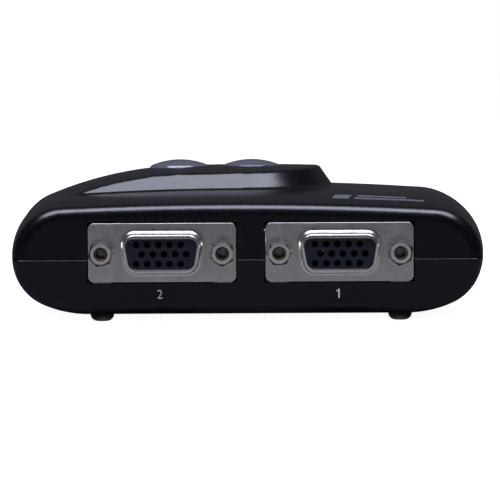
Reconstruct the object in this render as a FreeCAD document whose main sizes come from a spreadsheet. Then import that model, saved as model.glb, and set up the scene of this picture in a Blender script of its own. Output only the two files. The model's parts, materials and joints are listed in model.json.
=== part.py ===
"""A two-port desktop KVM switch: one monitor, keyboard and mouse shared by two computers.

The row frame is in millimetres: +Z up, the feet stand on z = 0, and the origin is the middle of the
footprint. The computers plug in at the rear, which faces -Y. The monitor, keyboard and mouse plug in at the
front, which faces +Y. Port 1 is at +X and port 2 at -X, as seen from the rear.
"""
import FreeCAD
import Part
import math
import os
import re

import Sketcher
from FreeCAD import Placement, Rotation, Vector

SIZES = {
    # Housing form
    "half_width": 50.4,  # at the middle of the depth
    "end_half_width": 48.5,  # at the rear and front faces
    "half_depth": 36.0,
    "belly_height": 1.9,  # underside above the table
    "parting_height": 13.4,
    "parting_gap": 0.25,
    "deck_height": 27.4,
    "deck_end_height": 24.25,
    "crown_radius": 515.0,
    "crown_end_radius": 800.0,
    "crown_end_shift": -5.0,  # the deck's highest line bends to the left at both ends
    "side_radius": 10.3,
    "keel_radius": 23.4,
    "wall": 2.0,
    "end_draft": 0.026,  # slope of the rear and front faces
    "end_rounding": 2.8,
    "low_end_rounding": 2.0,
    "seam_rounding": 0.25,
    "lip_inset": 1.1,
    "rebate_inset": 1.0,
    "lip_rise": 1.4,
    "rebate_rise": 1.6,
    # Raised platform that carries the buttons
    "platform_centre": -1.55,
    "platform_low_height": 20.0,
    "platform_low_radius": 24.96,
    "platform_high_height": 34.0,
    "platform_high_radius": 15.25,
    "platform_left": -52.0,
    "platform_top": 31.65,
    "platform_slope_start": -14.65,
    "platform_slope_radius": 79.0,
    "platform_shoulder_start": -43.0,
    "platform_shoulder_radius": 10.2,
    "platform_camber": 140.0,
    "platform_edge_rounding": 1.0,
    "platform_foot_rounding": 1.0,
    # Buttons
    "button_pitch": 15.5,
    "button_1_place": 0.85,
    "button_radius": 6.5,
    "button_gap": 0.2,
    "button_top": 32.8,
    "button_dome_radius": 16.0,
    "button_edge_height": 31.15,
    "button_flange_radius": 7.3,
    "button_flange_height": 27.7,
    "button_flange_depth": 0.9,
    "button_inner_radius": 5.2,
    "button_roof": 30.5,
    "button_post_radius": 1.6,
    "collar_radius": 8.7,
    "collar_height": 28.65,
    # Button board and its switches
    "button_board_height": 22.4,
    "button_board_half_width": 22.8,
    "button_board_half_depth": 11.0,
    "button_board_centre": -6.9,
    "board_thickness": 1.6,
    "board_boss_reach": 18.75,
    "switch_size": 6.0,
    "switch_base_depth": 3.1,
    "switch_height": 3.5,
    "switch_cavity_radius": 2.3,
    "plunger_radius": 1.75,
    "plunger_top": 27.2,
    "running_gap": 0.03,
    "led_offset": 5.6,
    "led_radius": 1.5,
    "led_height": 4.1,
    # Main board
    "board_top": 8.4,
    "board_half_width": 42.0,
    "board_half_depth": 33.0,
    "board_corner": 3.0,
    # Housing screws and feet
    "screw_x": 33.0,
    "screw_y": 13.0,
    "screw_radius": 1.25,
    "screw_head_radius": 2.6,
    "screw_length": 13.0,
    "pilot_radius": 1.3,
    "tower_radius": 4.2,
    "boss_radius": 3.4,
    "foot_x": 31.15,
    "foot_y": 27.5,
    "foot_radius": 2.5,
    "foot_stem_radius": 1.1,
    # Monitor-type socket, fifteen contacts in three rows
    "port_pitch": 36.68,
    "port_centre": 0.7,
    "port_height": 14.73,
    "flange_width": 30.6,
    "flange_height": 12.2,
    "flange_depth": 0.8,
    "flange_corner": 1.2,
    "jack_pitch": 24.99,
    "socket_width": 17.0,
    "socket_height": 8.2,
    "socket_reach": 5.9,
    "socket_slope": 0.1763,
    "socket_corner": 2.5,
    "socket_skin": 0.95,
    "nose_gap": 0.05,
    "nose_reach": 5.5,
    "contact_pitch": 2.29,
    "row_pitch": 1.98,
    "row_shift": 0.57,
    "contact_radius": 0.5,
    "contact_hole_radius": 0.7,
    "contact_recess": 4.0,
    "jack_flats": 4.75,
    "jack_reach": 5.0,
    "jack_bore_radius": 1.13,
    "jack_mouth_radius": 1.45,
    "jack_face_radius": 2.1,
    "jack_shank_radius": 1.4,
    "bracket_half_width": 1.9,
    "port_opening_gap": 0.25,
    # Type A sockets for the keyboard and the mouse
    "usb_height": 11.9,
    "usb_keyboard_place": 9.5,
    "usb_mouse_place": 26.9,
    "usb_width": 13.14,
    "usb_tall": 5.72,
    "usb_skin": 0.3,
    "usb_depth": 14.0,
    "usb_lip": 0.6,
    "usb_tongue_width": 11.1,
    "usb_tongue_thickness": 1.84,
    "usb_tongue_centre": 0.975,
}

document = FreeCAD.newDocument("kvm_switch")
sheet = document.addObject("Spreadsheet::Sheet", "sizes")
NODES = []


# ---------------------------------------------------------------- sheet and expressions


def fill_sheet():
    """Writes each driving dimension to the sheet, with its name as the cell's alias."""
    for row, (alias, value) in enumerate(SIZES.items(), 1):
        sheet.set(f"A{row}", alias)
        sheet.set(f"B{row}", str(value))
        sheet.setAlias(f"B{row}", alias)
    document.recompute()


def full(expression):
    """The expression with the sheet's name before each alias."""
    return re.sub(
        r"[a-z_][a-z0-9_]*",
        lambda word: f"sizes.{word[0]}" if word[0] in SIZES else word[0],
        str(expression),
    )


def number(expression):
    return float(sheet.evalExpression(full(expression)))


def bind(item, name, expression):
    item.setExpression(name, full(expression))


def place(item, x="0", y="0", z="0", turn=Rotation()):
    item.Placement = Placement(Vector(), turn)
    bind(item, "Placement.Base.x", x)
    bind(item, "Placement.Base.y", y)
    bind(item, "Placement.Base.z", z)
    return item


def node(item, label):
    """Marks an object of the document as a sub-part, named by its Label."""
    item.Label = label
    NODES.append(item)
    return item


# ---------------------------------------------------------------- sketches and features

BACKWARD = Rotation(Vector(1, 0, 0), -90)  # turns a primitive's +Z towards +Y
FORWARD = Rotation(Vector(1, 0, 0), 90)  # turns a primitive's +Z towards -Y
HALF_TURN = Rotation(Vector(0, 0, 1), 180)
PLANE_TURN = {
    "XY": Rotation(),
    "XZ": FORWARD,
    "YZ": Rotation(Vector(1, 1, 1), 120),
}


class Drawing:
    """A sketch whose points and radii are bound to the sheet.

    In a body it lies on the body's own plane, moved by offset along the plane's normal, which is -Y for XZ.
    """

    def __init__(self, plane, offset="0", body=None):
        kind = "Sketcher::SketchObject"
        if body:
            self.sketch = body.newObject(kind, "Outline")
            role = f"{plane}_Plane"
            base = next(item for item in body.Origin.OriginFeatures if item.Role == role)
            self.sketch.AttachmentSupport = (base, [""])
            self.sketch.MapMode = "FlatFace"
            bind(self.sketch, "AttachmentOffset.Base.z", offset)
        else:
            self.sketch = document.addObject(kind, "Outline")
            steps = {"XY": ("0", "0", offset), "XZ": ("0", f"-({offset})", "0"), "YZ": (offset, "0", "0")}
            place(self.sketch, *steps[plane], turn=PLANE_TURN[plane])

    def fix(self, kind, *where, to):
        """Adds one dimension and binds it to an expression."""
        index = self.sketch.addConstraint(Sketcher.Constraint(kind, *where, number(to)))
        bind(self.sketch, f"Constraints[{index}]", to)

    def relate(self, kind, *where):
        self.sketch.addConstraint(Sketcher.Constraint(kind, *where))

    def fix_point(self, piece, end, x, y):
        self.fix("DistanceX", -1, 1, piece, end, to=x)
        self.fix("DistanceY", -1, 1, piece, end, to=y)

    def polygon(self, points):
        corners = [Vector(number(x), number(y), 0) for x, y in points]
        following = corners[1:] + corners[:1]
        lines = [Part.LineSegment(a, b) for a, b in zip(corners, following)]
        first = self.sketch.addGeometry(lines, False)[0]
        count = len(points)
        for index, (x, y) in enumerate(points):
            self.relate("Coincident", first + index, 2, first + (index + 1) % count, 1)
            self.fix_point(first + index, 1, x, y)
        return self

    def rectangle(self, left, low, right, high):
        return self.polygon([(left, low), (right, low), (right, high), (left, high)])

    def block(self, x, y, width, height):
        """A rectangle by its centre and size."""
        left, right = f"{x} - ({width}) / 2", f"{x} + ({width}) / 2"
        low, high = f"{y} - ({height}) / 2", f"{y} + ({height}) / 2"
        return self.rectangle(left, low, right, high)

    def circle(self, x, y, radius):
        centre = Vector(number(x), number(y), 0)
        index = self.sketch.addGeometry(Part.Circle(centre, Vector(0, 0, 1), number(radius)), False)
        self.fix_point(index, 3, x, y)
        self.fix("Radius", index, to=radius)
        return self


def new_body(name):
    return document.addObject("PartDesign::Body", name)


def pad(body, drawing, length, back=False):
    """Adds material along the sketch's normal, or against it when back is true."""
    feature = body.newObject("PartDesign::Pad", "Pad")
    feature.Profile = drawing.sketch
    bind(feature, "Length", length)
    feature.Reversed = back
    drawing.sketch.Visibility = False
    return feature


def pocket(body, drawing, length, back=False):
    """Removes material against the sketch's normal, or along it when back is true."""
    feature = body.newObject("PartDesign::Pocket", "Pocket")
    feature.Profile = drawing.sketch
    bind(feature, "Length", length)
    feature.Reversed = back
    return feature


def soften(body, radius, chosen, kind="PartDesign::Fillet"):
    """Rounds the edges of the body's tip that the test picks."""
    document.recompute()
    base = body.Tip
    names = [f"Edge{index}" for index, edge in enumerate(base.Shape.Edges, 1) if chosen(edge)]
    feature = body.newObject(kind, "Fillet")
    feature.Base = (base, names)
    bind(feature, "Radius", radius)
    return feature


def middle(edge):
    return edge.valueAt((edge.FirstParameter + edge.LastParameter) / 2)


def runs_along(edge, axis):
    """Whether a straight edge is parallel to a row axis, given as 0, 1 or 2."""
    if not isinstance(edge.Curve, (Part.Line, Part.LineSegment)):
        return False
    return abs(abs((edge.lastVertex().Point - edge.firstVertex().Point).normalize()[axis]) - 1) < 1e-6


def lies_flat(edge, axis, value):
    """Whether an edge lies in the plane where a row axis has that value."""
    bounds = edge.BoundBox
    low, high = ((bounds.XMin, bounds.XMax), (bounds.YMin, bounds.YMax), (bounds.ZMin, bounds.ZMax))[axis]
    return abs(low - value) < 1e-4 and abs(high - value) < 1e-4


# ---------------------------------------------------------------- primitives and booleans


def box(name, low, size):
    """A box from its lowest corner and its three sizes."""
    item = document.addObject("Part::Box", name)
    for side, expression in zip(("Length", "Width", "Height"), size):
        bind(item, side, expression)
    return place(item, *low)


def rod(name, base, radius, length, turn=Rotation()):
    item = document.addObject("Part::Cylinder", name)
    bind(item, "Radius", radius)
    bind(item, "Height", length)
    return place(item, *base, turn=turn)


def cone(name, base, radius, end_radius, length, turn=Rotation()):
    item = document.addObject("Part::Cone", name)
    bind(item, "Radius1", radius)
    bind(item, "Radius2", end_radius)
    bind(item, "Height", length)
    return place(item, *base, turn=turn)


def fuse(name, parts):
    item = document.addObject("Part::MultiFuse", name)
    item.Shapes = parts
    return item


def cut(name, base, tools):
    item = document.addObject("Part::Cut", name)
    item.Base = base
    item.Tool = tools[0] if len(tools) == 1 else fuse(f"{name}_tools", tools)
    return item


def common(name, first, second):
    item = document.addObject("Part::Common", name)
    item.Base = first
    item.Tool = second
    return item


def group(name, parts):
    item = document.addObject("Part::Compound", name)
    item.Links = parts
    return item


def rounded(name, base, radius, chosen):
    """Rounds the edges of a Part object that the test picks."""
    document.recompute()
    size = number(radius)
    item = document.addObject("Part::Fillet", name)
    item.Base = base
    item.Edges = [(index, size, size) for index, edge in enumerate(base.Shape.Edges, 1) if chosen(edge)]
    return item


# ---------------------------------------------------------------- housing forms

STATIONS = (-3, -2, -1, 0, 1, 2, 3)  # thirds of the way from the middle to each end


def housing_section(body, station, reach, inset):
    """One cross-section of the housing: a flat belly, two arcs up each side and a crowned deck."""
    share = f"({station} / 3 * ({reach}) / half_depth)"
    side = f"half_width - (half_width - end_half_width) * {share}^2 - ({inset})"
    deck = f"deck_height - (deck_height - deck_end_height) * {share}^4 - ({inset})"
    belly = f"belly_height + {inset}"
    small, large = f"side_radius - ({inset})", f"keel_radius - ({inset})"
    crown = f"crown_radius + (crown_end_radius - crown_radius) * {share}^2 - ({inset})"
    shift = f"crown_end_shift * {share}^2"

    half, waist, centre = number(side), number("parting_height"), number(shift)
    small_size, large_size, crown_size = number(small), number(large), number(crown)
    small_centre = half - small_size
    large_height = number(belly) + large_size
    large_centre = small_centre - math.sqrt((large_size - small_size) ** 2 - (large_height - waist) ** 2)
    keel_angle = math.atan2(waist - large_height, small_centre - large_centre)
    crown_height = number(deck) - crown_size
    rise = waist - crown_height

    def shoulder_form(reach_out):
        """Radius and end angle of the arc from the crown down to a side that far from the crown's centre."""
        radius = (crown_size**2 - reach_out**2 - rise**2) / (2 * (crown_size - reach_out))
        return radius, math.atan2(rise, reach_out - radius)

    right, right_angle = shoulder_form(half - centre)
    left, left_angle = shoulder_form(half + centre)

    def arc(x, y, radius, start, end):
        return Part.ArcOfCircle(Part.Circle(Vector(x, y, 0), Vector(0, 0, 1), radius), start, end)

    quarter, straight = math.pi / 2, math.pi
    drawing = Drawing("XZ", f"-({station} / 3 * ({reach}))", body)
    low = number(belly)
    pieces = [
        Part.LineSegment(Vector(-large_centre, low, 0), Vector(large_centre, low, 0)),
        arc(large_centre, large_height, large_size, -quarter, keel_angle),
        arc(small_centre, waist, small_size, keel_angle, 0),
        arc(half - right, waist, right, 0, right_angle),
        arc(centre, crown_height, crown_size, right_angle, straight - left_angle),
        arc(left - half, waist, left, straight - left_angle, straight),
        arc(-small_centre, waist, small_size, straight, straight - keel_angle),
        arc(-large_centre, large_height, large_size, straight - keel_angle, straight + quarter),
    ]
    drawing.sketch.addGeometry(pieces, False)
    floor, right_keel, right_side, right_shoulder, roof, left_shoulder, left_side, left_keel = range(8)
    for index in range(8):
        drawing.relate("Tangent", index, 2, (index + 1) % 8, 1)
    drawing.relate("Horizontal", floor)
    for piece, radius in (
        (right_keel, large), (left_keel, large), (right_side, small), (left_side, small), (roof, crown),
    ):
        drawing.fix("Radius", piece, to=radius)
    drawing.fix("DistanceY", -1, 1, floor, 1, to=belly)
    drawing.fix_point(roof, 3, shift, f"{deck} - ({crown})")
    drawing.fix("DistanceX", -1, 1, right_shoulder, 1, to=side)
    drawing.fix("DistanceX", -1, 1, left_side, 1, to=f"-({side})")
    for piece in (right_side, left_side, right_shoulder, left_shoulder):
        drawing.fix("DistanceY", -1, 1, piece, 3, to="parting_height")
    return drawing.sketch


def housing_form(name, reach, inset="0"):
    """The pillow-shaped form of the housing, shrunk on every side by inset."""
    body = new_body(name)
    sections = [housing_section(body, station, reach, inset) for station in STATIONS]
    loft = body.newObject("PartDesign::AdditiveLoft", "Loft")
    loft.Profile = sections[0]
    loft.Sections = sections[1:]
    return body


def drafted_block(name, low, high):
    """A block as wide as the housing whose ends lean inwards, away from the parting line."""
    reach = {"low": f"half_depth - end_draft * abs({low} - parting_height)"}
    reach["high"] = f"half_depth - end_draft * abs({high} - parting_height)"
    body = new_body(name)
    outline = Drawing("YZ", "-60", body)
    outline.polygon([
        (f"-({reach['low']})", low),
        (reach["low"], low),
        (reach["high"], high),
        (f"-({reach['high']})", high),
    ])
    pad(body, outline, "120")
    return body


def is_end_rim(edge):
    """Whether an edge runs round the housing's rear or front face, off the parting plane."""
    bounds = edge.BoundBox
    at_end = abs(middle(edge).y) > number("half_depth") - 0.7 and bounds.YLength < 0.6
    on_parting = bounds.ZLength < 1e-3 and abs(bounds.ZMin - number("parting_height")) < 0.5
    return at_end and not on_parting and edge.Length > 1


def platform_outline(height, radius):
    """The platform in plan: straight at the back and front, with a half-round right end."""
    drawing = Drawing("XY", height)
    size, left, centre = number(radius), number("platform_left"), number("platform_centre")
    bend = Part.Circle(Vector(centre, 0, 0), Vector(0, 0, 1), size)
    drawing.sketch.addGeometry(
        [
            Part.LineSegment(Vector(left, -size, 0), Vector(centre, -size, 0)),
            Part.ArcOfCircle(bend, -math.pi / 2, math.pi / 2),
            Part.LineSegment(Vector(centre, size, 0), Vector(left, size, 0)),
            Part.LineSegment(Vector(left, size, 0), Vector(left, -size, 0)),
        ],
        False,
    )
    back, end, front, closing = range(4)
    drawing.relate("Tangent", back, 2, end, 1)
    drawing.relate("Tangent", end, 2, front, 1)
    drawing.relate("Coincident", front, 2, closing, 1)
    drawing.relate("Coincident", closing, 2, back, 1)
    drawing.relate("Horizontal", back)
    drawing.relate("Horizontal", front)
    drawing.relate("Vertical", closing)
    drawing.fix("Radius", end, to=radius)
    drawing.fix_point(end, 3, "platform_centre", "0")
    drawing.fix("DistanceX", -1, 1, closing, 1, to="platform_left")
    return drawing.sketch


def platform_roof(name, inset):
    """A slab whose top is the platform's: nearly level on the right, falling away in two arcs on the left."""
    top, crown = f"platform_top - ({inset})", f"crown_radius - ({inset})"
    slope, shoulder = f"platform_slope_radius - ({inset})", f"platform_shoulder_radius - ({inset})"
    hub_x = "platform_slope_start * (1 - platform_slope_radius / crown_radius)"
    slope_start = f"platform_slope_start * ({crown}) / crown_radius"
    shoulder_start = f"{hub_x} + (platform_shoulder_start - {hub_x}) * ({slope}) / platform_slope_radius"

    crown_size, slope_size, shoulder_size = number(crown), number(slope), number(shoulder)
    crown_centre = Vector(0, number(top) - crown_size, 0)
    lean = math.asin(number(slope_start) / crown_size)
    hub = crown_centre + Vector(math.sin(lean), math.cos(lean), 0) * (crown_size - slope_size)
    fall = math.asin((number(shoulder_start) - hub.x) / slope_size)
    shoulder_centre = hub + Vector(math.sin(fall), math.cos(fall), 0) * (slope_size - shoulder_size)
    right, base, quarter = 25.0, 12.0, math.pi / 2
    right_angle = math.acos(right / crown_size)
    right_end = Vector(right, crown_centre.y + crown_size * math.sin(right_angle), 0)
    left_end = shoulder_centre - Vector(shoulder_size, 0, 0)

    def arc(centre, radius, start, end):
        return Part.ArcOfCircle(Part.Circle(centre, Vector(0, 0, 1), radius), start, end)

    drawing = Drawing("XZ")
    drawing.sketch.addGeometry(
        [
            arc(crown_centre, crown_size, right_angle, quarter - lean),
            arc(hub, slope_size, quarter - lean, quarter - fall),
            arc(shoulder_centre, shoulder_size, quarter - fall, math.pi),
            Part.LineSegment(left_end, Vector(left_end.x, base, 0)),
            Part.LineSegment(Vector(left_end.x, base, 0), Vector(right, base, 0)),
            Part.LineSegment(Vector(right, base, 0), right_end),
        ],
        False,
    )
    crown_arc, slope_arc, shoulder_arc, left_line, base_line, right_line = range(6)
    drawing.relate("Tangent", crown_arc, 2, slope_arc, 1)
    drawing.relate("Tangent", slope_arc, 2, shoulder_arc, 1)
    drawing.relate("Tangent", shoulder_arc, 2, left_line, 1)
    drawing.relate("Coincident", left_line, 2, base_line, 1)
    drawing.relate("Coincident", base_line, 2, right_line, 1)
    drawing.relate("Coincident", right_line, 2, crown_arc, 1)
    drawing.relate("Vertical", left_line)
    drawing.relate("Horizontal", base_line)
    drawing.fix("Radius", crown_arc, to=crown)
    drawing.fix("Radius", slope_arc, to=slope)
    drawing.fix("Radius", shoulder_arc, to=shoulder)
    drawing.fix_point(crown_arc, 3, "0", f"{top} - ({crown})")
    drawing.fix("DistanceX", -1, 1, crown_arc, 2, to=slope_start)
    drawing.fix("DistanceX", -1, 1, slope_arc, 2, to=shoulder_start)
    drawing.fix_point(right_line, 1, str(right), str(base))
    drawing.fix("DistanceX", -1, 1, right_line, 2, to=str(right))
    roof = document.addObject("Part::Revolution", name)
    roof.Source = drawing.sketch
    roof.Axis = Vector(1, 0, 0)
    roof.Angle = 26
    roof.Symmetric = True
    roof.Solid = True
    bind(roof, "Base.z", "platform_top - platform_camber")
    return roof


def platform_form(name, inset="0"):
    """The raised platform, with sloping walls, shrunk on every side by inset."""
    walls = document.addObject("Part::Loft", f"{name}_walls")
    walls.Sections = [
        platform_outline("platform_low_height", f"platform_low_radius - 1.2 * ({inset})"),
        platform_outline("platform_high_height", f"platform_high_radius - 1.2 * ({inset})"),
    ]
    walls.Solid = True
    walls.Ruled = True
    return common(name, walls, platform_roof(f"{name}_roof", inset))


def is_platform_brow(edge):
    """Whether an edge runs round the top of the platform's walls."""
    bounds = edge.BoundBox
    across = bounds.YLength > 20 and bounds.XLength < 1
    level = bounds.ZMax > number("deck_height") - 0.9 and bounds.ZMin > number("platform_low_height") + 0.1
    falling = bounds.XMax < number("platform_shoulder_start") + 1 and bounds.ZLength > 1
    return (level or falling) and not across


def is_platform_foot(edge):
    """Whether an edge runs along the crease where the platform rises from the deck."""
    bounds, point = edge.BoundBox, middle(edge)
    on_deck = bounds.ZMin > 24 and bounds.ZMax < number("deck_height") + 0.2
    inside = abs(point.y) < 25 and -36 < point.x < 37 and bounds.XMin > -42
    return on_deck and inside and edge.Length > 3 and abs(point.y) > 3


# ---------------------------------------------------------------- housing


def port_cutters(prefix):
    """Boxes that open the rear and front walls for the sockets."""
    margin, depth = "port_opening_gap", "8"
    wide, tall = f"flange_width + 2 * {margin}", f"flange_height + 2 * {margin}"
    low = f"port_height - ({tall}) / 2"
    cutters = []
    for _, place_x, rear, _ in port_list():
        start = "-half_depth - 5" if rear else "half_depth - 3"
        left = f"{place_x} - ({wide}) / 2"
        cutters.append(box(f"{prefix}_port_cutter", (left, start, low), (wide, depth, tall)))
    wide, tall = "usb_width + 2 * usb_lip + 0.4", "usb_tall + 2 * usb_lip + 0.4"
    for place_x in ("usb_keyboard_place", "usb_mouse_place"):
        corner = (f"{place_x} - ({wide}) / 2", "half_depth - 3", f"usb_height - ({tall}) / 2")
        cutters.append(box(f"{prefix}_usb_cutter", corner, (wide, depth, tall)))
    return cutters


def corners(x, y):
    """The four places at plus and minus x and y, as expressions."""
    return [(f"{a}{x}", f"{b}{y}") for a in ("-", "+") for b in ("-", "+")]


def slab(name, low, high):
    """A level slab wider than the housing."""
    return box(name, ("-60", "-60", low), ("120", "120", f"{high} - ({low})"))


def make_top_shell(outer, inner):
    """The upper half of the housing, with the platform, button collars, screw bosses and board bosses."""
    seam = "parting_height + parting_gap / 2"
    upper = common("upper_form", outer, drafted_block("upper_block", seam, "40"))
    upper = rounded("upper_rounded", upper, "end_rounding", is_end_rim)
    platform = platform_form("platform")
    platform = rounded("platform_rounded", platform, "platform_edge_rounding", is_platform_brow)
    crowned = document.addObject("Part::Fuse", "crowned_form")
    crowned.Base, crowned.Tool, crowned.Refine = upper, platform, True
    crowned = rounded("crowned_rounded", crowned, "platform_foot_rounding", is_platform_foot)
    rebate_form = housing_form("rebate_form", "half_depth - rebate_inset", "rebate_inset")
    rebate = common("rebate", rebate_form, slab("rebate_slab", "5", "parting_height + rebate_rise"))
    hollow = cut("top_hollowed", crowned, [inner, platform_form("platform_hollow", "2.2"), rebate])

    additions, holes = [hollow], port_cutters("top")
    for x in ("button_1_place", "button_1_place - button_pitch"):
        additions.append(rod("collar", (x, "0", "collar_height"), "collar_radius", "2"))
        holes.append(rod("button_hole", (x, "0", "20"), "button_radius + button_gap", "20"))
    for x, y in corners("screw_x", "screw_y"):
        additions.append(rod("boss", (x, y, "board_top + 0.05"), "boss_radius", "17.5"))
        holes.append(rod("pilot", (x, y, "board_top - 1"), "pilot_radius", "10.5"))
    for sign in ("-", "+"):
        x = f"button_board_centre {sign} board_boss_reach"
        base = (x, "0", "button_board_height + 0.05")
        additions.append(rod("board_boss", base, "2.5", "29.45 - button_board_height"))
        holes.append(rod("board_pilot", (x, "0", "button_board_height - 1"), "1.05", "4.8"))
    solid = fuse("top_filled", additions)
    return node(cut("top_shell_cut", solid, holes), "top_shell")


def make_bottom_shell(outer, inner):
    """The lower half of the housing, with the locating lip, screw towers, foot sockets and air slots."""
    seam = "parting_height - parting_gap / 2"
    lower = common("lower_form", outer, drafted_block("lower_block", "-1", seam))
    lower = rounded("lower_rounded", lower, "low_end_rounding", is_end_rim)

    def is_seam_rim(edge):
        return lies_flat(edge, 2, number(seam))

    lower = rounded("lower_softened", lower, "seam_rounding", is_seam_rim)
    lip_form = housing_form("lip_form", "half_depth - lip_inset", "lip_inset")
    lip = common("lip", lip_form, slab("lip_slab", f"{seam} - 1", "parting_height + lip_rise"))
    additions = [cut("bottom_hollowed", fuse("bottom_lipped", [lower, lip]), [inner])]
    holes = port_cutters("bottom")
    for x, y in corners("screw_x", "screw_y"):
        rise = "board_top - board_thickness - belly_height - 0.55"
        additions.append(rod("tower", (x, y, "belly_height + 0.5"), "tower_radius", rise))
        holes.append(rod("screw_hole", (x, y, "0"), "screw_radius + 0.35", "12"))
        holes.append(rod("head_recess", (x, y, "0"), "screw_head_radius + 0.4", "belly_height + 2.4"))
    for x, y in corners("foot_x", "foot_y"):
        holes.append(rod("foot_hole", (f"port_centre {x}", y, "0"), "foot_stem_radius + 0.05", "8"))
    for row in ("-1", "1"):
        for index in range(-3, 4):
            low = (f"{index * 4.6} - 0.8", f"{row} * 11 - 6", "0")
            holes.append(box("air_slot", low, ("1.6", "12", "8")))
    label_bed = box("label_bed", ("-19", "-3.6", "belly_height - 1"), ("38", "7.2", "1.25"))
    holes.append(label_bed)
    return node(cut("bottom_shell_cut", fuse("bottom_filled", additions), holes), "bottom_shell")


def make_label():
    """The blank rating label in its shallow bed under the housing."""
    body = new_body("label")
    pad(body, Drawing("XY", "belly_height + 0.1", body).block("0", "0", "37.4", "6.6"), "0.14")
    soften(body, "0.8", lambda edge: runs_along(edge, 2))
    node(body, "rating_label")


def make_screws():
    """The four screws that hold the housing together, put in from below."""
    body = new_body("screws")
    seat = "belly_height + 2.4"
    shank, head = Drawing("XY", seat, body), Drawing("XY", seat, body)
    for x, y in corners("screw_x", "screw_y"):
        shank.circle(x, y, "screw_radius")
        head.circle(x, y, "screw_head_radius")
    pad(body, shank, "screw_length")
    pad(body, head, "1.7", back=True)
    soften(body, "0.5", lambda edge: lies_flat(edge, 2, number(f"{seat} - 1.7")))
    cross = Drawing("XY", f"{seat} - 1.7", body)
    upright = Drawing("XY", f"{seat} - 1.7", body)
    for x, y in corners("screw_x", "screw_y"):
        cross.block(x, y, "2.8", "0.6")
        upright.block(x, y, "0.6", "2.8")
    pocket(body, cross, "1.1", back=True)
    pocket(body, upright, "1.1", back=True)
    node(body, "housing_screws")


def make_feet():
    """Four push-in rubber feet: a domed pad, a stem through the floor and a barb above it."""
    body = new_body("feet")
    dome, stem, barb = (
        Drawing("XY", "belly_height", body), Drawing("XY", "belly_height", body),
        Drawing("XY", "belly_height + wall + 0.05", body),
    )
    for x, y in corners("foot_x", "foot_y"):
        dome.circle(f"port_centre {x}", y, "foot_radius")
        stem.circle(f"port_centre {x}", y, "foot_stem_radius")
        barb.circle(f"port_centre {x}", y, "foot_stem_radius + 0.5")
    pad(body, dome, "belly_height", back=True)
    soften(body, "1.5", lambda edge: lies_flat(edge, 2, 0))
    pad(body, stem, "wall + 0.05")
    pad(body, barb, "0.7")
    node(body, "rubber_feet")


# ---------------------------------------------------------------- buttons and their board


def make_button(which, x):
    """A domed cap, with a flange that keeps it under the deck and a post that bears on the switch."""
    body = new_body(f"button_{which}")
    drawing = Drawing("XZ", "0", body)
    base, collar = "button_flange_height", "button_flange_height + button_flange_depth"
    dome_height = "button_top - button_dome_radius"
    top, edge = number("button_top"), number("button_edge_height")
    dome, radius = number("button_dome_radius"), number("button_radius")
    rim = radius - 0.35
    rim_height = number(dome_height) + math.sqrt(dome**2 - rim**2)
    points = [
        (radius, edge),
        (radius, number(collar)),
        (number("button_flange_radius"), number(collar)),
        (number("button_flange_radius"), number(base)),
        (number("button_inner_radius"), number(base)),
        (number("button_inner_radius"), number("button_roof")),
        (number("button_post_radius"), number("button_roof")),
        (number("button_post_radius"), number("plunger_top + running_gap")),
        (0, number("plunger_top + running_gap")),
        (0, top),
    ]
    corners_at = [Vector(u, v, 0) for u, v in points]
    start = math.asin(rim_height / dome - number(dome_height) / dome)
    circle = Part.Circle(Vector(0, number(dome_height), 0), Vector(0, 0, 1), dome)
    lines = [Part.LineSegment(a, b) for a, b in zip(corners_at, corners_at[1:])]
    bevel = Part.LineSegment(Vector(rim, rim_height, 0), corners_at[0])
    drawing.sketch.addGeometry([bevel, *lines, Part.ArcOfCircle(circle, start, math.pi / 2)], False)
    expressions = [
        ("button_radius", "button_edge_height"),
        ("button_radius", collar),
        ("button_flange_radius", collar),
        ("button_flange_radius", base),
        ("button_inner_radius", base),
        ("button_inner_radius", "button_roof"),
        ("button_post_radius", "button_roof"),
        ("button_post_radius", "plunger_top + running_gap"),
        ("0", "plunger_top + running_gap"),
    ]
    for index, (u, v) in enumerate(expressions):
        drawing.relate("Coincident", index, 2, index + 1, 1)
        drawing.fix_point(index + 1, 1, u, v)
    dome_arc = len(lines) + 1
    drawing.relate("Coincident", dome_arc - 1, 2, dome_arc, 2)
    drawing.relate("Coincident", dome_arc, 1, 0, 1)
    drawing.fix("Radius", dome_arc, to="button_dome_radius")
    drawing.fix_point(dome_arc, 3, "0", dome_height)
    drawing.fix("DistanceX", -1, 1, dome_arc, 1, to="button_radius - 0.35")
    drawing.relate("PointOnObject", dome_arc, 2, -2)
    turned = body.newObject("PartDesign::Revolution", "Revolution")
    turned.Profile = drawing.sketch
    turned.ReferenceAxis = (drawing.sketch, ["V_Axis"])
    turned.Angle = 360
    soften(body, "0.3", lambda e: abs(e.BoundBox.ZMax - edge) < 1e-3 and e.BoundBox.ZLength < 1e-3)
    place(body, x)
    node(body, f"button_cap_{which}")


def switch_places():
    return ["button_1_place", "button_1_place - button_pitch"]


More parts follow.
